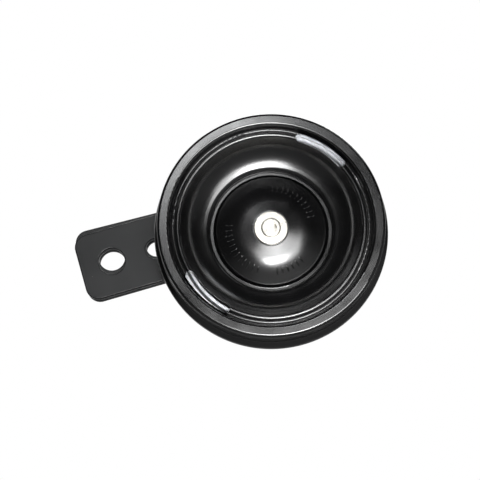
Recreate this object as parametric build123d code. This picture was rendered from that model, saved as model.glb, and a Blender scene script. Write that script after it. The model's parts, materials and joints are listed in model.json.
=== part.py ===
from build123d import *
import math
import os

# A small electric disc horn on a bracket of three straps, in millimetres.
# The pieces are drawn in the horn's own front view: x right, y up, z towards the
# listener, with the horn axis at x = y = 0 and the front of the rim at z = 0.
# settle() then puts them in the part's frame: the origin is on the axis of the large
# bracket hole, where the front strap meets the middle one, the horn faces -Y, +Z is up.

# Front cover, a pressed steel sheet
cover_sheet = 0.8
rim_radius = 35.0
skirt_depth = 15.3
bowl_floor_rise = 1.4
lip_length = 1.5
lip_gap = 0.7
shelf_gap = 0.6
bead_inner_bend = 0.15
rim_bend = 0.9
shelf_bend = 1.0
lip_bend = 1.6
slot_width = 2.8
slot_sweep = 29.5
slot_angles = (40.9, 210.6)

# Radii and the bead's depths in the cover, as shares of the rim's radius
skirt_share = 1.046
crimp_share = 0.960
rim_inner_share = 0.903
groove_share = 0.863
slot_share = 0.834
bead_share = 0.820
bowl_foot_share = 0.697
mouth_share = 0.540
bead_depth_share = 0.020
groove_depth_share = 0.086
groove_bend_share = 0.013
bowl_bend_share = 0.257

# Parts clamped inside the crimped skirt
clamp_ring_bore_share = 0.923
rim_clearance = 0.12
clamp_ring_chamfer = 0.35
gasket_thickness = 0.3
diaphragm_sheet = 0.3
corrugation_share = 0.851
corrugation_width = 2.6
corrugation_height = 0.7
corrugation_bend = 0.5

# Tone disc and the stack riveted through its centre
tone_sheet = 1.0
tone_height = 4.6
tone_seat_share = 0.160
dome_share = 0.489
dome_start_slope = 8.0
dome_end_slope = 24.0
dome_bend = 18.0
tone_gap = 0.9
tone_step_run = 0.8
tone_seat_bend = 1.2
tone_edge_bend = 1.2
tone_foot_bend = 0.3
tone_share = 0.789
rivet_radius = 2.5
rivet_clearance = 0.05
rivet_head_radius = 3.05
rivet_head_height = 0.6
rivet_head_fillet = 0.48
rivet_bore_radius = 1.8
rivet_bore_depth = 3.0
rivet_foot_radius = 4.0
rivet_foot_height = 1.0
washer_radius = 5.25
washer_thickness = 0.8
washer_edge_fillet = 0.25
collar_radius = 5.0

# Armature, magnet core and coil
armature_flange_share = 0.314
armature_flange_height = 1.2
plunger_share = 0.229
plunger_gap = 0.8
striker_share = 0.300
striker_gap = 0.3
core_gap = 0.8
core_share = 0.200
pole_plate_sheet = 1.2
pole_plate_bore_share = 0.257
pole_plate_clearance = 0.1
bobbin_wall = 1.0
bobbin_clearance = 0.05
bobbin_flange_share = 0.414
winding_share = 0.394

# Rear casing, a drawn steel cup
casing_sheet = 1.1
casing_shoulder_share = 0.777
casing_cup_share = 0.714
casing_depth = 30.0
casing_shoulder_drop = 6.7
casing_flange_bend = 1.0
casing_step_bend = 0.6
casing_floor_bend_share = 0.120

# Contact breaker on the pole plate, set above the axis
contact_reach_share = 0.617
contact_base_width = 14.0
contact_base_depth = 4.6
contact_base_corner = 1.0
insulator_thickness = 0.8
contact_arm_sheet = 0.8
contact_tongue_width = 5.0
contact_tongue_end_share = 0.386
contact_leaf_sheet = 0.4
contact_leaf_width = 4.6
contact_leaf_end_share = 0.249
contact_point_radius = 1.3
contact_point_share = 0.429
contact_rivet_radius = 0.9
contact_rivet_spacing = 6.0
contact_rivet_head_radius = 1.6
contact_rivet_head = 0.5
contact_clearance = 0.1

# Adjusting screw and its lock nut
adjuster_radius = 2.0
adjuster_x_share = 0.257
adjuster_y_share = 0.469
adjuster_ear = 3.0
adjuster_end_length = 3.0
adjuster_slot = 0.8
adjuster_slot_depth = 1.0
adjuster_nut_flats = 7.0
adjuster_nut_height = 3.2
adjuster_clearance = 0.3

# Terminals
terminal_spacing = 10.0
terminal_reach_share = 0.497
terminal_blade_width = 6.3
terminal_sheet = 0.8
terminal_blade_length = 8.5
terminal_foot_length = 6.4
terminal_foot_above = 2.8
terminal_rivet_radius = 1.25
terminal_rivet_head_radius = 2.1
terminal_rivet_head = 0.8
terminal_rivet_fillet = 0.56
terminal_clinch_radius = 2.0
terminal_board_width = 19.0
terminal_board_height = 7.2
terminal_board_corner = 1.5
terminal_board_thickness = 2.4
inner_board_width = 15.0
inner_board_height = 4.4
inner_board_corner = 0.8
inner_board_thickness = 0.8
terminal_hole_clearance = 0.6

# Bracket of three equal straps, and its fastening
strap_sheet = 2.0
strap_width = 21.9
strap_offset = 9.1
hole_reach = 51.3
hole_pitch = 15.0
large_hole_radius = 4.25
small_hole_radius = 3.35
end_margin = 10.5
strap_corner = 4.2
eye_share = 0.343
neck_reach = 24.0
neck_fillet = 6.0
neck_overlap = 1.0
middle_strap_turn = 1.8
strap_edge_fillet = 0.4
stud_radius = 3.0
stud_clearance = 0.2
stud_length = 16.0
stud_chamfer = 0.6
stud_washer_radius = 6.0
stud_washer_thickness = 1.2
spring_washer_radius = 5.2
spring_washer_thickness = 1.6
spring_washer_gap = 1.0
spring_washer_slant = 30.0
nut_flats = 10.0
nut_height = 5.0
nut_bore_clearance = 0.05
nut_chamfer_angle = 30.0

# Radii that follow from the rim
skirt_radius = rim_radius * skirt_share
crimp_radius = rim_radius * crimp_share
rim_inner_radius = rim_radius * rim_inner_share
groove_radius = rim_radius * groove_share
slot_mid_radius = rim_radius * slot_share
bead_radius = rim_radius * bead_share
bowl_foot_radius = rim_radius * bowl_foot_share
mouth_radius = rim_radius * mouth_share
bead_bend = cover_sheet + bead_inner_bend
groove_bend = rim_radius * groove_bend_share
bowl_bend = rim_radius * bowl_bend_share
clamp_ring_bore_radius = rim_radius * clamp_ring_bore_share
corrugation_radius = rim_radius * corrugation_share
tone_seat_radius = rim_radius * tone_seat_share
dome_radius = rim_radius * dome_share
tone_radius = rim_radius * tone_share
armature_flange_radius = rim_radius * armature_flange_share
plunger_radius = rim_radius * plunger_share
striker_radius = rim_radius * striker_share
core_radius = rim_radius * core_share
pole_plate_bore_radius = rim_radius * pole_plate_bore_share
bobbin_flange_radius = rim_radius * bobbin_flange_share
winding_radius = rim_radius * winding_share
casing_shoulder_radius = rim_radius * casing_shoulder_share
casing_cup_radius = rim_radius * casing_cup_share
casing_floor_bend = casing_cup_radius * casing_floor_bend_share
contact_reach = rim_radius * contact_reach_share
contact_tongue_end = rim_radius * contact_tongue_end_share
contact_leaf_end = rim_radius * contact_leaf_end_share
contact_point_reach = rim_radius * contact_point_share
eye_radius = rim_radius * eye_share
adjuster_x = rim_radius * adjuster_x_share
adjuster_y = rim_radius * adjuster_y_share
terminal_y = -rim_radius * terminal_reach_share
rim_bore = rim_radius - cover_sheet
skirt_bore = skirt_radius - cover_sheet
clamped_radius = skirt_bore - rim_clearance
shoulder_bore = casing_shoulder_radius - casing_sheet
stud_hole_radius = stud_radius + stud_clearance

# Depths that follow from the stack, as z in the front view
bead_z = -rim_radius * bead_depth_share
groove_z = -rim_radius * groove_depth_share
rim_back = -cover_sheet
skirt_end = -skirt_depth
flange_back = skirt_end + cover_sheet
rear_gasket_back = flange_back + casing_sheet
diaphragm_back = rear_gasket_back + gasket_thickness
front_gasket_back = diaphragm_back + diaphragm_sheet
clamp_ring_back = front_gasket_back + gasket_thickness
shelf_foot = clamp_ring_back + shelf_gap
shelf_head = shelf_foot + skirt_radius - rim_radius
casing_shoulder_z = flange_back - casing_shoulder_drop
casing_back = -casing_depth
casing_floor = casing_back + casing_sheet
pole_plate_back = casing_shoulder_z + casing_sheet
pole_plate_front = pole_plate_back + pole_plate_sheet
insulator_front = pole_plate_front + insulator_thickness
leaf_front = insulator_front + contact_leaf_sheet
upper_insulator_front = leaf_front + insulator_thickness
arm_front = upper_insulator_front + contact_arm_sheet
contact_face = leaf_front + insulator_thickness / 2
tone_step_z = front_gasket_back + tone_gap + tone_sheet
tone_centre_z = tone_step_z + tone_height
tone_back = tone_centre_z - tone_sheet
washer_front = tone_centre_z + washer_thickness
lip_end_z = tone_step_z + lip_gap
mouth_z = lip_end_z + lip_length
bowl_foot_z = mouth_z + bowl_floor_rise
armature_flange_back = diaphragm_back - armature_flange_height
plunger_back = pole_plate_front + plunger_gap
striker_back = leaf_front + striker_gap
strap_front = casing_back
middle_strap_front = strap_front - strap_sheet
rear_strap_front = middle_strap_front - strap_sheet
strap_back = rear_strap_front - strap_sheet


def settle(shape):
    """Turns a piece from the front view into the part's own frame."""
    to_origin = Pos(hole_reach, -strap_offset, -middle_strap_front)
    return Rot(90, 0, 0) * to_origin * shape


def beside(points, gap):
    """Moves a chain of (r, z) points sideways, to the right of its direction."""
    lines = []
    for (r0, z0), (r1, z1) in zip(points, points[1:]):
        length = math.hypot(r1 - r0, z1 - z0)
        across = ((z1 - z0) / length * gap, (r0 - r1) / length * gap)
        lines.append(((r0 + across[0], z0 + across[1]), (r1 - r0, z1 - z0)))
    moved = [lines[0][0]]
    for (start, along), (other, turn) in zip(lines, lines[1:]):
        cross = along[0] * turn[1] - along[1] * turn[0]
        step = ((other[0] - start[0]) * turn[1] - (other[1] - start[1]) * turn[0]) / cross
        moved.append((start[0] + along[0] * step, start[1] + along[1] * step))
    last, along = lines[-1]
    moved.append((last[0] + along[0], last[1] + along[1]))
    return moved


def pressed(points, bends, gauge):
    """A sheet metal shell turned about the axis, from the line of its outer face.

    The sheet lies to the right of the line, and each inner point has its outer bend radius.
    """
    inner_bends = []
    for (r0, z0), (r1, z1), (r2, z2), bend in zip(points, points[1:], points[2:], bends):
        turn = (r1 - r0) * (z2 - z1) - (z1 - z0) * (r2 - r1)
        inner_bends.append(bend + gauge if turn > 0 else bend - gauge)
    outer = [(r, 0, z) for r, z in points]
    inner = [(r, 0, z) for r, z in beside(points, gauge)]
    outer_line = FilletPolyline(*outer, radius=list(bends))
    inner_line = FilletPolyline(*inner, radius=inner_bends)
    ends = [Line(outer[0], inner[0]), Line(outer[-1], inner[-1])]
    section = make_face([*outer_line.edges(), *inner_line.edges(), *ends])
    return revolve(section, Axis.Z)


def ring(outer_radius, bore_radius, front, back):
    """A plain ring about the horn axis between two depths."""
    body = extrude(Circle(outer_radius) - Circle(bore_radius), amount=front - back)
    return Pos(0, 0, back) * body


def disc(radius, front, back):
    """A plain disc about the horn axis between two depths."""
    return Pos(0, 0, back) * Cylinder(radius, front - back, align=(Align.CENTER, Align.CENTER, Align.MIN))


def plate(outline, front, back):
    """A flat plate of the given outline between two depths."""
    return Pos(0, 0, back) * extrude(outline, amount=front - back)


def front_cover():
    """Pressed cover: lip, bowl, bead, groove, flat rim, stepped skirt and crimped edge."""
    points = [
        (mouth_radius, lip_end_z),
        (mouth_radius, mouth_z),
        (bowl_foot_radius, bowl_foot_z),
        (bead_radius, bead_z),
        (groove_radius, groove_z),
        (rim_inner_radius, 0),
        (rim_radius, 0),
        (rim_radius, shelf_head),
        (skirt_radius, shelf_foot),
        (skirt_radius, skirt_end),
        (crimp_radius, skirt_end),
    ]
    bends = [lip_bend, bowl_bend, bead_bend, groove_bend, rim_bend, rim_bend]
    bends += [shelf_bend, shelf_bend, rim_bend]
    cover = pressed(points, bends, cover_sheet)
    half_sweep = slot_sweep / 2
    for angle in slot_angles:
        path = CenterArc((0, 0), slot_mid_radius, angle - half_sweep, slot_sweep)
        slot = SlotArc(path, slot_width)
        cover -= plate(slot, cover_sheet, clamp_ring_back)
    return cover


def clamp_ring():
    """Rolled band that holds the diaphragm down from the rim."""
    band = ring(rim_bore - rim_clearance, clamp_ring_bore_radius, rim_back, clamp_ring_back)
    top_edge = band.edges().filter_by(GeomType.CIRCLE).group_by(Axis.Z)[-1].sort_by(SortBy.RADIUS)[-1]
    return chamfer(top_edge, clamp_ring_chamfer)


def gasket(front):
    """Paper ring on either side of the diaphragm."""
    return ring(clamped_radius, clamp_ring_bore_radius, front, front - gasket_thickness)


def diaphragm():
    """Thin spring steel disc with one pressed corrugation near its clamped edge."""
    front = front_gasket_back
    inner = corrugation_radius - corrugation_width / 2
    outer = corrugation_radius + corrugation_width / 2
    points = [
        (rivet_radius + rivet_clearance, front),
        (inner, front),
        (inner + corrugation_height, front + corrugation_height),
        (outer - corrugation_height, front + corrugation_height),
        (outer, front),
        (clamped_radius, front),
    ]
    return pressed(points, [corrugation_bend] * 4, diaphragm_sheet)


def tone_disc():
    """Dished disc: flat seat, dome, a step down and a flat outer ring."""
    slope_in = math.tan(math.radians(dome_start_slope))
    slope_out = math.tan(math.radians(dome_end_slope))
    crown_radius = (tone_seat_radius + dome_radius) / 2
    crown_z = tone_centre_z - (crown_radius - tone_seat_radius) * slope_in
    edge_z = crown_z - (dome_radius - crown_radius) * slope_out
    points = [
        (rivet_radius + rivet_clearance, tone_centre_z),
        (tone_seat_radius, tone_centre_z),
        (crown_radius, crown_z),
        (dome_radius, edge_z),
        (dome_radius + tone_step_run, tone_step_z),
        (tone_radius, tone_step_z),
    ]
    bends = [tone_seat_bend, dome_bend, tone_edge_bend, tone_foot_bend]
    return pressed(points, bends, tone_sheet)


def rivet_washer():
    """Bright washer on the front of the tone disc."""
    flat = ring(washer_radius, rivet_radius + rivet_clearance, washer_front, tone_centre_z)
    edge = flat.edges().filter_by(GeomType.CIRCLE).group_by(Axis.Z)[-1].sort_by(SortBy.RADIUS)[-1]
    return fillet(edge, washer_edge_fillet)


def spacer_collar():
    """Turned collar that keeps the tone disc off the diaphragm."""
    return ring(collar_radius, rivet_radius + rivet_clearance, tone_back, front_gasket_back)


def centre_rivet():
    """Semi-tubular rivet: clinched over the washer, its foot sunk in the armature."""
    foot_back = plunger_back + rivet_clearance
    shank = disc(rivet_radius, washer_front, foot_back)
    head = disc(rivet_head_radius, washer_front + rivet_head_height, washer_front)
    edge = head.edges().filter_by(GeomType.CIRCLE).group_by(Axis.Z)[-1]
    head = fillet(edge, rivet_head_fillet)
    foot = disc(rivet_foot_radius, foot_back + rivet_foot_height, foot_back)
    bore_front = washer_front + rivet_head_height
    bore = disc(rivet_bore_radius, bore_front, bore_front - rivet_bore_depth)
    return shank + head + foot - bore


def armature():
    """Soft iron armature: a flange under the diaphragm and a plunger facing the core."""
    flange = disc(armature_flange_radius, diaphragm_back, armature_flange_back)
    plunger = disc(plunger_radius, armature_flange_back, plunger_back)
    hole = disc(rivet_radius + rivet_clearance, diaphragm_back, plunger_back)
    seat_front = plunger_back + rivet_clearance + rivet_foot_height
    seat = disc(rivet_foot_radius + rivet_clearance, seat_front, plunger_back)
    return flange + plunger - hole - seat


def striker_ring():
    """Fibre ring round the plunger that pushes the contact spring open."""
    bore = plunger_radius + rivet_clearance
    return ring(striker_radius, bore, armature_flange_back, striker_back)


def pole_core():
    """Magnet core and mounting stud, turned in one piece."""
    core = disc(core_radius, plunger_back - core_gap, casing_floor)
    stud = disc(stud_radius, casing_floor, casing_back - stud_length)
    tip = stud.edges().filter_by(GeomType.CIRCLE).group_by(Axis.Z)[0]
    return core + chamfer(tip, stud_chamfer)


def coil_bobbin():
    """Moulded bobbin between the pole plate and the casing floor."""
    bore = core_radius + bobbin_clearance
    front = pole_plate_back
    front_flange = ring(bobbin_flange_radius, bore, front, front - bobbin_wall)
    rear_flange = ring(bobbin_flange_radius, bore, casing_floor + bobbin_wall, casing_floor)
    barrel = ring(bore + bobbin_wall, bore, front, casing_floor)
    return front_flange + rear_flange + barrel


def coil_winding():
    """The copper winding, as the solid of its outer shape."""
    bore = core_radius + bobbin_clearance + bobbin_wall
    return ring(winding_radius, bore, pole_plate_back - bobbin_wall, casing_floor + bobbin_wall)


def pole_plate():
    """Steel plate on the casing's shoulder, carrying the contact breaker."""
    radius = shoulder_bore - pole_plate_clearance
    blank = Circle(radius) - Circle(pole_plate_bore_radius)
    for hole in contact_rivet_places():
        blank -= Pos(*hole) * Circle(contact_rivet_radius + contact_clearance)
    blank -= Pos(adjuster_x, adjuster_y) * Circle(adjuster_radius + adjuster_clearance)
    return plate(blank, pole_plate_front, pole_plate_back)


def rear_casing():
    """Drawn cup: flange, shoulder for the pole plate, wall and floor."""
    points = [
        (clamped_radius, flange_back),
        (casing_shoulder_radius, flange_back),
        (casing_shoulder_radius, casing_shoulder_z),
        (casing_cup_radius, casing_shoulder_z),
        (casing_cup_radius, casing_back),
        (stud_radius + rivet_clearance, casing_back),
    ]
    shoulder_bend = casing_sheet + rivet_clearance
    bends = [casing_flange_bend, shoulder_bend, casing_step_bend, casing_floor_bend]
    cup = pressed(points, bends, casing_sheet)
    holes = Pos(adjuster_x, adjuster_y) * Circle(adjuster_radius + rivet_clearance)
    for place in terminal_places():
        holes += Pos(*place) * Circle(terminal_rivet_radius + terminal_hole_clearance)
    return cup - plate(holes, casing_floor, casing_back)


def contact_rivet_places():
    """Centres of the two rivets of the contact breaker."""
    return [(side * contact_rivet_spacing / 2, contact_reach) for side in (-1, 1)]


def contact_base():
    """Outline that the contact breaker's stacked pieces share."""
    outline = RectangleRounded(contact_base_width, contact_base_depth, contact_base_corner)
    return Pos(0, contact_reach) * outline


def drilled_base(outline):
    """The outline with the clearance holes of the two rivets."""
    for hole in contact_rivet_places():
        outline -= Pos(*hole) * Circle(contact_rivet_radius + contact_clearance)
    return outline


def contact_insulators():
    """Fibre plates above and below the contact spring."""
    lower = plate(drilled_base(contact_base()), insulator_front, pole_plate_front)
    upper = plate(drilled_base(contact_base()), upper_insulator_front, leaf_front)
    return Compound(children=[lower, upper])


def tongue(width, end):
    """A strip from the contact breaker's base towards the axis, with a round end."""
    length = contact_reach - end - width / 2
    middle = contact_reach - length / 2
    return Pos(0, middle) * Rectangle(width, length) + Pos(0, end + width / 2) * Circle(width / 2)


def contact_spring():
    """Spring leaf that the striker pushes; it carries the moving point."""
    outline = drilled_base(contact_base() + tongue(contact_leaf_width, contact_leaf_end))
    return plate(outline, leaf_front, insulator_front)


def contact_arm():
    """Stiff arm with the fixed point, and an ear that the adjusting screw pushes."""
    base_end = Pos(contact_base_width / 2 - contact_base_corner * 2, contact_reach)
    root = base_end * Circle(contact_base_corner * 2)
    ear = make_hull([*root.edges(), *(Pos(adjuster_x, adjuster_y) * Circle(adjuster_ear)).edges()])
    outline = drilled_base(contact_base() + tongue(contact_tongue_width, contact_tongue_end) + ear)
    return plate(outline, arm_front, upper_insulator_front)


def contact_point(front, back):
    """One of the two contact points."""
    return Pos(0, contact_point_reach) * disc(contact_point_radius, front, back)


def contact_rivets():
    """The two rivets through the contact breaker and the pole plate."""
    rivets = []
    for place in contact_rivet_places():
        shank = disc(contact_rivet_radius, arm_front, pole_plate_back)
        head = disc(contact_rivet_head_radius, arm_front + contact_rivet_head, arm_front)
        rivets.append(Pos(*place) * (shank + head))
    return Compound(children=rivets)


def adjusting_screw():
    """Slotted grub screw through the casing floor, pushing on the contact arm."""
    end = casing_back - adjuster_nut_height - adjuster_end_length
    screw = disc(adjuster_radius, upper_insulator_front, end)
    slot = Pos(0, 0, end) * Box(adjuster_radius * 3, adjuster_slot, adjuster_slot_depth * 2)
    return Pos(adjuster_x, adjuster_y) * (screw - slot)


def hexagon_nut(flats, bore_radius, height):
    """Hexagon nut standing on z = 0 and going back, with turned corners."""
    corner_radius = flats / math.sqrt(3)
    blank = extrude(RegularPolygon(corner_radius, 6) - Circle(bore_radius), amount=height)
    run = corner_radius - flats / 2
    rise = run * math.tan(math.radians(nut_chamfer_angle))
    turned = disc(corner_radius, height, 0)
    turned = chamfer(turned.edges().filter_by(GeomType.CIRCLE), rise, run)
    return Pos(0, 0, -height) * (blank & turned)


def adjuster_nut():
    """Lock nut of the adjusting screw."""
    nut = hexagon_nut(adjuster_nut_flats, adjuster_radius + nut_bore_clearance, adjuster_nut_height)
    return Pos(adjuster_x, adjuster_y, casing_back) * nut


def terminal_places():
    """Centres of the two terminal rivets."""
    return [(side * terminal_spacing / 2, terminal_y) for side in (-1, 1)]


def board(width, height, corner):
    """Outline of a terminal board with its two rivet holes."""
    outline = Pos(0, terminal_y) * RectangleRounded(width, height, corner)
    for place in terminal_places():
        outline -= Pos(*place) * Circle(terminal_rivet_radius + rivet_clearance)
    return outline


def terminal_board():
    """Moulded board under the terminals, on the back of the casing."""
    outline = board(terminal_board_width, terminal_board_height, terminal_board_corner)
    return plate(outline, casing_back, casing_back - terminal_board_thickness)


def inner_board():
    """Fibre plate under the terminal rivets, inside the casing."""
    outline = board(inner_board_width, inner_board_height, inner_board_corner)
    return plate(outline, casing_floor + inner_board_thickness, casing_floor)


def terminal(side):
    """L-shaped blade terminal: a riveted foot and a blade that points backwards."""
    x = side * terminal_spacing / 2
    foot_front = casing_back - terminal_board_thickness
    foot_low = terminal_y + terminal_foot_above - terminal_foot_length
    foot_middle = foot_low + terminal_foot_length / 2
    foot = Pos(x, foot_middle) * Rectangle(terminal_blade_width, terminal_foot_length)
    foot -= Pos(x, terminal_y) * Circle(terminal_rivet_radius + rivet_clearance)
    foot = plate(foot, foot_front, foot_front - terminal_sheet)
    blade_middle = foot_front - terminal_sheet - terminal_blade_length / 2
    blade = Box(terminal_blade_width, terminal_sheet, terminal_blade_length)
    tip = blade.edges().filter_by(Axis.Y).group_by(Axis.Z)[0]
    blade = chamfer(tip, terminal_sheet)
    blade = Pos(x, foot_low + terminal_sheet / 2, blade_middle) * blade
    return foot + blade


def terminal_rivets():
    """Rivets that hold the terminals and both boards to the casing."""
    foot_back = casing_back - terminal_board_thickness - terminal_sheet
    inside = casing_floor + inner_board_thickness
    rivets = []
    for place in terminal_places():
        shank = disc(terminal_rivet_radius, inside, foot_back)
        head = disc(terminal_rivet_head_radius, foot_back, foot_back - terminal_rivet_head)
        dome_edge = head.edges().filter_by(GeomType.CIRCLE).group_by(Axis.Z)[0]
        head = fillet(dome_edge, terminal_rivet_fillet)
        clinch = disc(terminal_clinch_radius, inside + terminal_rivet_head, inside)
        rivets.append(Pos(*place) * (shank + head + clinch))
    return Compound(children=rivets)


def strap(front):
    """One bracket strap: an eye round the stud and a straight end with two holes."""
    low = strap_offset - strap_width / 2
    free_end = -hole_reach - end_margin
    arm_length = -neck_reach - free_end
    arm_middle = (free_end - neck_reach) / 2
    arm = Pos(arm_middle, strap_offset) * Rectangle(arm_length, strap_width)
    corners = arm.vertices().group_by(Axis.X)[0]
    arm = fillet(corners, strap_corner)
    neck_end = Pos(neck_overlap / 2 - neck_reach, strap_offset) * Rectangle(neck_overlap, strap_width)
    neck = make_hull([*Circle(eye_radius).edges(), *neck_end.edges()])
    outline = arm + neck
    inside_corner = outline.vertices().sort_by_distance((-neck_reach, low))[0]
    outline = fillet(inside_corner, neck_fillet)
    outline -= Circle(stud_hole_radius)
    outline -= Pos(-hole_reach, strap_offset) * Circle(large_hole_radius)
    outline -= Pos(-hole_reach + hole_pitch, strap_offset) * Circle(small_hole_radius)
    leaf = plate(outline, front, front - strap_sheet)
    front_edges = leaf.edges().group_by(Axis.Z)[-1]
    return fillet(front_edges, strap_edge_fillet)


def stud_washer():
    """Flat washer behind the straps."""
    return ring(stud_washer_radius, stud_hole_radius, strap_back, strap_back - stud_washer_thickness)


def spring_washer():
    """Split spring washer, pressed flat."""
    front = strap_back - stud_washer_thickness
    back = front - spring_washer_thickness
    cut = Box(spring_washer_gap, spring_washer_radius, spring_washer_thickness * 3)
    middle = (spring_washer_radius + stud_radius) / 2
    split = Pos(0, middle, (front + back) / 2) * Rot(0, spring_washer_slant, 0) * cut
    return ring(spring_washer_radius, stud_hole_radius, front, back) - split


def stud_nut():
    """Hexagon nut on the stud."""
    nut = hexagon_nut(nut_flats, stud_radius + nut_bore_clearance, nut_height)
    return Pos(0, 0, strap_back - stud_washer_thickness - spring_washer_thickness) * nut


pieces = {
    "front_cover": front_cover(),
    "clamp_ring": clamp_ring(),
    "front_gasket": gasket(clamp_ring_back),
    "diaphragm": diaphragm(),
    "rear_gasket": gasket(diaphragm_back),
    "rear_casing": rear_casing(),
    "tone_disc": tone_disc(),
    "rivet_washer": rivet_washer(),
    "spacer_collar": spacer_collar(),
    "centre_rivet": centre_rivet(),
    "armature": armature(),
    "striker_ring": striker_ring(),
    "pole_core": pole_core(),
    "coil_bobbin": coil_bobbin(),
    "coil_winding": coil_winding(),
    "pole_plate": pole_plate(),
    "contact_insulators": contact_insulators(),
    "contact_spring": contact_spring(),
    "contact_arm": contact_arm(),
    "moving_contact_point": contact_point(contact_face, leaf_front),
    "fixed_contact_point": contact_point(upper_insulator_front, contact_face),
    "contact_rivets": contact_rivets(),
    "adjusting_screw": adjusting_screw(),
    "adjuster_nut": adjuster_nut(),
    "terminal_board": terminal_board(),
    "inner_board": inner_board(),
    "left_terminal": terminal(-1),
    "right_terminal": terminal(1),
    "terminal_rivets": terminal_rivets(),
    "bracket_front_strap": strap(strap_front),
    "bracket_middle_strap": Rot(0, 0, -middle_strap_turn) * strap(middle_strap_front),
    "bracket_rear_strap": strap(rear_strap_front),
    "stud_washer": stud_washer(),
    "spring_washer": spring_washer(),
    "stud_nut": stud_nut(),
}

os.makedirs("parts", exist_ok=True)
for name, shape in pieces.items():
    export_step(settle(shape), f"parts/{name}.step")
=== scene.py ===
import json
import math

import bmesh
import bpy
from mathutils import Matrix, Vector
from mathutils.bvhtree import BVHTree


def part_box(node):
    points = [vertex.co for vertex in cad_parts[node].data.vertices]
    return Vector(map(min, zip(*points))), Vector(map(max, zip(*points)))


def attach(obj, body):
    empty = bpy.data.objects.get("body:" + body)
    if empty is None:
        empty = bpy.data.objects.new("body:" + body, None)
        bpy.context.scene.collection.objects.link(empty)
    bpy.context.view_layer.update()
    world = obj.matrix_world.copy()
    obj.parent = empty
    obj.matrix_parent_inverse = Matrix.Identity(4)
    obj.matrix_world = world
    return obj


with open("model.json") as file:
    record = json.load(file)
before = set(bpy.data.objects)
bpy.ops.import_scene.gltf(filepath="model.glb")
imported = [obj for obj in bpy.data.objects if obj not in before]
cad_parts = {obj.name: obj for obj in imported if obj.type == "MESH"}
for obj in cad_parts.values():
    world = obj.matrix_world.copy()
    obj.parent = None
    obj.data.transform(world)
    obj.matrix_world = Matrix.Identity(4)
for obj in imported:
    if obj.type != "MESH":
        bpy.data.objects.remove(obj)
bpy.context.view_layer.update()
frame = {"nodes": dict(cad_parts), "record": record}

# Camera: places in metres, pixels of the square photograph, shift as a share of the picture
PHOTO_PX = 480
FOCAL_PX = 1474.0
SENSOR_MM = 36.0
CLIP_START = 0.01
CAMERA_PLACE = (0.0237, -0.4713, -0.1027)
CAMERA_UP = (0.2823, 0.0, 0.9593)
RIM_CENTRE = (0.0513, -0.0320, -0.0091)
RIM_PIXEL = (271.0, 223.8)
SHIFT_UP = 0.1

# Softboxes: name, azimuth and elevation in degrees seen from the horn (0, 0 is straight in front of it),
# distance, width and height in metres, brightness where 1 is white, colour
LIGHTS = [
    ("key_light", 0, -18, 0.55, 0.17, 0.15, 24.0, (1.0, 1.0, 1.0)),
    ("key_halo", 6, -12, 0.56, 0.34, 0.28, 5.5, (1.0, 1.0, 1.0)),
    ("upper_light", 0, 20, 0.70, 0.13, 0.09, 9.0, (0.98, 0.99, 1.0)),
    ("side_light", 84, 40, 0.70, 0.30, 0.30, 1.5, (0.95, 0.98, 1.0)),
    ("back_light", 160, 40, 0.80, 0.60, 0.60, 3.5, (1.0, 1.0, 1.0)),
]

# Surroundings: colours, and the spans of a direction's Y or Z over which one gives way to the next
WHITE = (1, 1, 1)
BLACK = (0, 0, 0)
ROOM_DARK = (0.012, 0.012, 0.012)
ROOM_TOP = (0.03, 0.03, 0.032)
ROOM_RISE = (0.2, 1.0)
BACKDROP = (0.85, 0.85, 0.85)
BACKDROP_BEHIND = (0.2, 0.7)
BACKDROP_ABOVE = (-0.15, 0.25)

# Floor: height and half side in metres, colours to the horn and to the camera, cells of its noise per metre
FLOOR_HEIGHT = -0.20
FLOOR_HALF_SIDE = 1.5
FLOOR_TO_HORN = (0.20, 0.20, 0.20)
FLOOR_PALE = (0.78, 0.78, 0.78)
FLOOR_PALEST = (0.82, 0.82, 0.82)
FLOOR_GLOW = (0.62, 0.62, 0.62)
FLOOR_ROUGH = 0.8
FLOOR_SCALE = 40.0

# Noise: the spans of its value that are laid out over numbers and over colours
NUMBER_SPAN = (0.3, 0.7)
COLOUR_SPAN = (0.35, 0.65)

# Enamel: scales in cells per metre, gain and lift of the haze's colour, shares of the roughness,
# depth of the orange peel in metres
HAZE_SCALE = 55.0
HAZE_GAIN = 1.5
HAZE_LIFT = 0.002
ENAMEL_SCALE = 130.0
ENAMEL_SHARES = (0.85, 1.2)
PEEL_SCALE = 900.0
PEEL_DEPTH = 0.0000015

# Dust on the enamel: cells per metre, radius as a share of a cell, colour
DUST_SCALE = 170.0
DUST_SIZE = 0.016
DUST = (0.16, 0.16, 0.15)

# Metal: working marks in cells per metre, their shade and depth, then the noise and shares of the roughness
MARKS_SCALE = 700.0
MARKS_SHADE = 0.82
MARKS_DEPTH = 0.000004
METAL_SCALE = 260.0
METAL_SHARES = (0.8, 1.25)

# Paper, fibre and plastic: grain in cells per metre, its shade and depth, shares of the roughness
GRAIN_SCALE = 400.0
GRAIN_SHADE = 0.7
GRAIN_DEPTH = 0.00002
GRAIN_SHARES = (0.9, 1.1)

# Generic strokes on the tone disc: arcs in degrees from +X towards +Z with a count, lengths in metres,
# the outline across a stroke in half widths and heights, the power of its taper, the width left at its tips
# and the Y from which rays look for the disc
AXIS = Vector((RIM_CENTRE[0], 0, RIM_CENTRE[2]))
STROKE_ARCS = [(158, 236, 12), (2, 72, 11), (262, 298, 6)]
STROKE_INNER = 0.0119
STROKE_OUTER = 0.0145
STROKE_HALF_WIDTH = 0.00030
STROKE_HEIGHT = 0.00016
STROKE_STEPS = 14
STROKE_PROFILE = [(-1.0, -0.4), (-0.6, 0.45), (-0.25, 0.92), (0.25, 0.92), (0.6, 0.45), (1.0, -0.4)]
STROKE_TAPER = 0.35
STROKE_TIP = 0.15
RAY_START = -0.2

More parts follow.
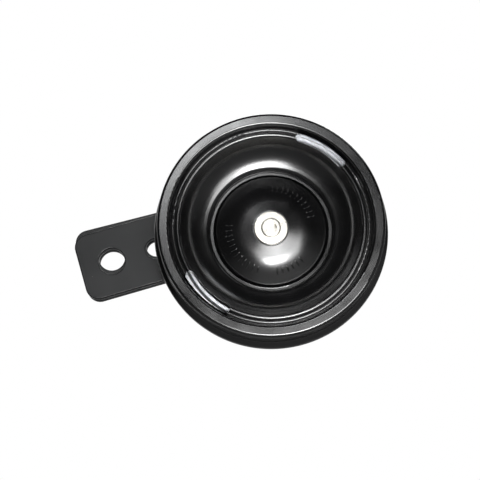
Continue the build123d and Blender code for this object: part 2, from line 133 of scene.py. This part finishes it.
# Thread of the stud: pitch and radii in metres, steps in a turn, the ridge's outline in pitches and depths,
# how far it starts inside the nut and ends before the stud's end
THREAD_PITCH = 0.001
THREAD_ROOT = 0.00290
THREAD_CREST = 0.00316
THREAD_STEPS = 48
THREAD_PROFILE = [(-0.46, 0.0), (-0.08, 1.0), (0.08, 1.0), (0.46, 0.0)]
THREAD_IN_NUT = 0.001
THREAD_END = 0.0012


def point_camera():
    """A camera at the photograph's place, with the rim's centre on its pixel."""
    data = bpy.data.cameras.new("camera")
    data.sensor_width = SENSOR_MM
    data.lens = FOCAL_PX / PHOTO_PX * SENSOR_MM
    data.shift_y = SHIFT_UP
    data.clip_start = CLIP_START
    camera = bpy.data.objects.new("camera", data)
    bpy.context.scene.collection.objects.link(camera)
    place = Vector(CAMERA_PLACE)
    back = (place - Vector(RIM_CENTRE)).normalized()
    right = Vector(CAMERA_UP).cross(back).normalized()
    up = back.cross(right)
    turn = Matrix((right, up, back)).transposed()
    half = PHOTO_PX / 2
    across = (RIM_PIXEL[0] - half) / FOCAL_PX
    rise = (half - RIM_PIXEL[1] + SHIFT_UP * PHOTO_PX) / FOCAL_PX
    wanted = Vector((across, rise, -1)).normalized()
    turn = turn @ wanted.rotation_difference(Vector((0, 0, -1))).to_matrix()
    camera.matrix_world = Matrix.Translation(place) @ turn.to_4x4()
    bpy.context.scene.camera = camera


def add_lights():
    """Soft rectangular lamps, turned towards the middle of the rim."""
    middle = Vector(RIM_CENTRE)
    for name, azimuth, elevation, distance, width, height, brightness, colour in LIGHTS:
        data = bpy.data.lights.new(name, "AREA")
        data.shape = "RECTANGLE"
        data.size, data.size_y = width, height
        data.energy = brightness * math.pi * width * height
        data.color = colour
        lamp = bpy.data.objects.new(name, data)
        bpy.context.scene.collection.objects.link(lamp)
        across, rise = math.radians(azimuth), math.radians(elevation)
        level = math.cos(rise)
        towards = Vector((math.sin(across) * level, -math.cos(across) * level, math.sin(rise)))
        lamp.location = middle + towards * distance
        lamp.rotation_euler = (-towards).to_track_quat("-Z", "Y").to_euler()


def laid_out(tree, value, span, low=0.0, high=1.0, smooth=False):
    """The value, laid out from a span of it between low and high."""
    node = tree.nodes.new("ShaderNodeMapRange")
    if smooth:
        node.interpolation_type = "SMOOTHSTEP"
    for socket, number in zip(("From Min", "From Max", "To Min", "To Max"), (*span, low, high)):
        node.inputs[socket].default_value = number
    tree.links.new(value, node.inputs["Value"])
    return node.outputs[0]


def maths(tree, operation, first, second):
    """One maths node; either input may be a socket or a number."""
    node = tree.nodes.new("ShaderNodeMath")
    node.operation = operation
    for slot, value in zip(node.inputs, (first, second)):
        if isinstance(value, float):
            slot.default_value = value
        else:
            tree.links.new(value, slot)
    return node.outputs[0]


def mixed(tree, factor, first, second):
    """A colour between first and second; either may be a socket or three numbers."""
    node = tree.nodes.new("ShaderNodeMix")
    node.data_type = "RGBA"
    tree.links.new(factor, node.inputs["Factor"])
    for slot, value in ((node.inputs["A"], first), (node.inputs["B"], second)):
        if isinstance(value, tuple):
            slot.default_value = (*value, 1)
        else:
            tree.links.new(value, slot)
    return node.outputs["Result"]


def colours(tree, value, dark, light, span=COLOUR_SPAN):
    """Two colours, mixed over a span of the value."""
    ramp = tree.nodes.new("ShaderNodeValToRGB")
    for element, position, colour in zip(ramp.color_ramp.elements, span, (dark, light)):
        element.position = position
        element.color = (*colour, 1)
    tree.links.new(value, ramp.inputs[0])
    return ramp.outputs[0]


def noise(tree, scale, detail):
    """A noise texture in object space, with its scale in cells per metre."""
    coords = tree.nodes.new("ShaderNodeTexCoord")
    texture = tree.nodes.new("ShaderNodeTexNoise")
    texture.inputs["Scale"].default_value = scale
    texture.inputs["Detail"].default_value = detail
    tree.links.new(coords.outputs["Object"], texture.inputs["Vector"])
    return texture.outputs["Fac"]


def roughen(tree, shader, value, rough, shares):
    """The shader's roughness, which the value moves between two shares of rough."""
    uneven = laid_out(tree, value, NUMBER_SPAN, rough * shares[0], rough * shares[1])
    tree.links.new(uneven, shader.inputs["Roughness"])


def bump(tree, shader, value, depth):
    """A bump of the given depth in metres on the shader's normal."""
    node = tree.nodes.new("ShaderNodeBump")
    node.inputs["Distance"].default_value = depth
    tree.links.new(value, node.inputs["Height"])
    tree.links.new(node.outputs[0], shader.inputs["Normal"])


def paint_world():
    """White to the camera; to the horn a dark room with a pale backdrop, which glossy rays see as white."""
    world = bpy.data.worlds.new("world")
    bpy.context.scene.world = world
    world.use_nodes = True
    tree = world.node_tree
    nodes, links = tree.nodes, tree.links
    nodes.clear()
    out = nodes.new("ShaderNodeOutputWorld")
    split = nodes.new("ShaderNodeSeparateXYZ")
    links.new(nodes.new("ShaderNodeTexCoord").outputs["Generated"], split.inputs[0])
    rise = laid_out(tree, split.outputs["Z"], ROOM_RISE, smooth=True)
    room = colours(tree, rise, ROOM_DARK, ROOM_TOP, span=(0.0, 1.0))
    behind = laid_out(tree, split.outputs["Y"], BACKDROP_BEHIND, smooth=True)
    above = laid_out(tree, split.outputs["Z"], BACKDROP_ABOVE, smooth=True)
    backdrop = maths(tree, "MULTIPLY", behind, above)
    surround = mixed(tree, backdrop, room, BACKDROP)
    path = nodes.new("ShaderNodeLightPath")
    straight = maths(tree, "MAXIMUM", path.outputs["Is Camera Ray"], path.outputs["Is Transmission Ray"])
    mirrored = maths(tree, "MULTIPLY", path.outputs["Is Glossy Ray"], backdrop)
    seen = maths(tree, "MAXIMUM", straight, mirrored)
    background = nodes.new("ShaderNodeBackground")
    links.new(mixed(tree, seen, surround, WHITE), background.inputs["Color"])
    links.new(background.outputs[0], out.inputs["Surface"])


def new_material(name):
    """An empty node material with one principled shader."""
    material = bpy.data.materials.new(name)
    material.use_nodes = True
    tree = material.node_tree
    tree.nodes.clear()
    out = tree.nodes.new("ShaderNodeOutputMaterial")
    shader = tree.nodes.new("ShaderNodeBsdfPrincipled")
    tree.links.new(shader.outputs["BSDF"], out.inputs["Surface"])
    return material, tree, shader


def enamel(name, colour, rough, ior):
    """Stoving enamel: dark coat with haze, dust and slight orange peel."""
    material, tree, shader = new_material(name)
    haze = noise(tree, HAZE_SCALE, detail=4.0)
    lighter = tuple(part * HAZE_GAIN + HAZE_LIFT for part in colour)
    paint = colours(tree, haze, colour, lighter)
    cells = tree.nodes.new("ShaderNodeTexVoronoi")
    cells.inputs["Scale"].default_value = DUST_SCALE
    tree.links.new(tree.nodes.new("ShaderNodeTexCoord").outputs["Object"], cells.inputs["Vector"])
    speck = maths(tree, "LESS_THAN", cells.outputs["Distance"], DUST_SIZE)
    tree.links.new(mixed(tree, speck, paint, DUST), shader.inputs["Base Color"])
    roughen(tree, shader, noise(tree, ENAMEL_SCALE, detail=4.0), rough, ENAMEL_SHARES)
    shader.inputs["IOR"].default_value = ior
    bump(tree, shader, noise(tree, PEEL_SCALE, detail=2.0), PEEL_DEPTH)
    return material


def plated(name, colour, rough):
    """Plated or turned metal with fine working marks."""
    material, tree, shader = new_material(name)
    shader.inputs["Metallic"].default_value = 1.0
    marks = noise(tree, MARKS_SCALE, detail=4.0)
    darker = tuple(part * MARKS_SHADE for part in colour)
    tree.links.new(colours(tree, marks, darker, colour), shader.inputs["Base Color"])
    roughen(tree, shader, noise(tree, METAL_SCALE, detail=3.0), rough, METAL_SHARES)
    bump(tree, shader, marks, MARKS_DEPTH)
    return material


def dull(name, colour, rough):
    """Paper, fibre and moulded plastic: uneven colour and a fine grain."""
    material, tree, shader = new_material(name)
    grain = noise(tree, GRAIN_SCALE, detail=5.0)
    darker = tuple(part * GRAIN_SHADE for part in colour)
    tree.links.new(colours(tree, grain, darker, colour), shader.inputs["Base Color"])
    roughen(tree, shader, grain, rough, GRAIN_SHARES)
    bump(tree, shader, grain, GRAIN_DEPTH)
    return material


def make_materials():
    """One finished material for each slot of the record: kind, colour, roughness and, for enamel, IOR."""
    looks = {
        "cover_paint": (enamel, (0.0015, 0.0015, 0.0017), 0.20, 2.0),
        "disc_paint": (enamel, (0.0015, 0.0015, 0.0017), 0.20, 2.0),
        "casing_paint": (enamel, (0.008, 0.008, 0.009), 0.36, 1.6),
        "strap_paint": (enamel, (0.011, 0.0115, 0.012), 0.34, 1.45),
        "bright_steel": (plated, (0.93, 0.95, 0.98), 0.46),
        "warm_plate": (plated, (0.86, 0.83, 0.76), 0.30),
        "zinc_steel": (plated, (0.62, 0.64, 0.66), 0.34),
        "iron": (plated, (0.30, 0.30, 0.31), 0.45),
        "paper": (dull, (0.32, 0.27, 0.20), 0.8),
        "fibre": (dull, (0.30, 0.12, 0.07), 0.65),
        "bobbin_plastic": (dull, (0.05, 0.05, 0.05), 0.5),
        "winding": (plated, (0.60, 0.27, 0.12), 0.3),
        "spring_metal": (plated, (0.66, 0.47, 0.24), 0.3),
        "contact_metal": (plated, (0.60, 0.60, 0.60), 0.25),
        "terminal_metal": (plated, (0.74, 0.58, 0.30), 0.28),
        "board_plastic": (dull, (0.03, 0.03, 0.032), 0.45),
    }
    return {slot: make(slot, *look) for slot, (make, *look) in looks.items()}


def paint_nodes(materials):
    """Each node of the frame gets the material of its slot."""
    for part in frame["record"]["subparts"]:
        frame["nodes"][part["node"]].material_slots[0].material = materials[part["material_slot"]]


def direction(angle):
    """The direction at an angle round the horn's axis, from +X towards +Z."""
    return Vector((math.cos(angle), 0, math.sin(angle)))


def join_rings(faces, first, last, columns):
    """Faces of a closed bar; its first and last rings of points begin at first and last."""
    for ring in range(first, last, columns):
        for j in range(columns):
            a, b = ring + j, ring + (j + 1) % columns
            faces.append((a, b, b + columns, a + columns))
    faces.append(tuple(first + j for j in reversed(range(columns))))
    faces.append(tuple(last + j for j in range(columns)))


def add_piece(name, verts, faces, slot, materials):
    """A closed mesh piece on the horn with the finish of a slot."""
    mesh = bpy.data.meshes.new(name)
    mesh.from_pydata([tuple(v) for v in verts], [], faces)
    work = bmesh.new()
    work.from_mesh(mesh)
    bmesh.ops.recalc_face_normals(work, faces=work.faces)
    work.to_mesh(mesh)
    work.free()
    mesh.polygons.foreach_set("use_smooth", [True] * len(mesh.polygons))
    mesh.materials.append(materials[slot])
    piece = bpy.data.objects.new(name, mesh)
    bpy.context.scene.collection.objects.link(piece)
    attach(piece, "root")


def stroke_points(skin, angle):
    """Points of one stroke on the disc's front face, ring by ring outwards, sunk in at both ends."""
    outward = direction(angle)
    sideways = Vector((-outward.z, 0, outward.x))
    points = []
    for k in range(STROKE_STEPS + 1):
        t = k / STROKE_STEPS
        taper = math.sin(math.pi * t) ** STROKE_TAPER
        radius = STROKE_INNER + (STROKE_OUTER - STROKE_INNER) * t
        for across, height in STROKE_PROFILE:
            aside = across * STROKE_HALF_WIDTH * max(taper, STROKE_TIP)
            spot = AXIS + outward * radius + sideways * aside
            place, normal, _, _ = skin.ray_cast(Vector((spot.x, RAY_START, spot.z)), Vector((0, 1, 0)))
            points.append(place + normal * (height * taper - 1 + taper) * STROKE_HEIGHT)
    return points


def add_stamping(materials):
    """Generic stamped strokes on the tone disc: plain radial ticks, no lettering."""
    skin = BVHTree.FromObject(frame["nodes"]["tone_disc"], bpy.context.evaluated_depsgraph_get())
    columns = len(STROKE_PROFILE)
    verts, faces = [], []
    for start, end, count in STROKE_ARCS:
        for i in range(count):
            first = len(verts)
            verts += stroke_points(skin, math.radians(start + (end - start) * i / (count - 1)))
            join_rings(faces, first, first + STROKE_STEPS * columns, columns)
    add_piece("disc_stamping", verts, faces, "disc_paint", materials)


def add_thread(materials):
    """The stud's thread, from inside the nut to the chamfer at its end."""
    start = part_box("stud_nut")[1][1] - THREAD_IN_NUT
    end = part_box("pole_core")[1][1] - THREAD_END
    turns = (end - start) / THREAD_PITCH
    steps = int(turns * THREAD_STEPS)
    columns = len(THREAD_PROFILE)
    verts, faces = [], []
    for i in range(steps + 1):
        outward = direction(2 * math.pi * i / THREAD_STEPS)
        fade = min(1.0, i / THREAD_STEPS, (steps - i) / THREAD_STEPS)
        for along, depth in THREAD_PROFILE:
            radius = THREAD_ROOT + (THREAD_CREST - THREAD_ROOT) * depth * fade
            y = start + (end - start) * i / steps + along * THREAD_PITCH
            verts.append(AXIS + outward * radius + Vector((0, y, 0)))
    join_rings(faces, 0, steps * columns, columns)
    add_piece("stud_thread", verts, faces, "zinc_steel", materials)


def add_floor():
    """Plain floor under the horn: pale and glowing to the camera, dark to the horn's reflections."""
    mesh = bpy.data.meshes.new("floor")
    side = FLOOR_HALF_SIDE
    corners = [(-side, -side, FLOOR_HEIGHT), (side, -side, FLOOR_HEIGHT),
               (side, side, FLOOR_HEIGHT), (-side, side, FLOOR_HEIGHT)]
    mesh.from_pydata(corners, [], [(0, 1, 2, 3)])
    floor = bpy.data.objects.new("floor", mesh)
    bpy.context.scene.collection.objects.link(floor)
    material, tree, shader = new_material("floor")
    pale = colours(tree, noise(tree, FLOOR_SCALE, detail=3.0), FLOOR_PALE, FLOOR_PALEST)
    to_camera = tree.nodes.new("ShaderNodeLightPath").outputs["Is Camera Ray"]
    tree.links.new(mixed(tree, to_camera, FLOOR_TO_HORN, pale), shader.inputs["Base Color"])
    tree.links.new(mixed(tree, to_camera, BLACK, FLOOR_GLOW), shader.inputs["Emission Color"])
    shader.inputs["Emission Strength"].default_value = 1.0
    shader.inputs["Roughness"].default_value = FLOOR_ROUGH
    mesh.materials.append(material)


point_camera()
add_lights()
paint_world()
add_floor()
materials = make_materials()
add_stamping(materials)
add_thread(materials)
paint_nodes(materials)

bpy.context.scene.view_settings.view_transform = "Standard"
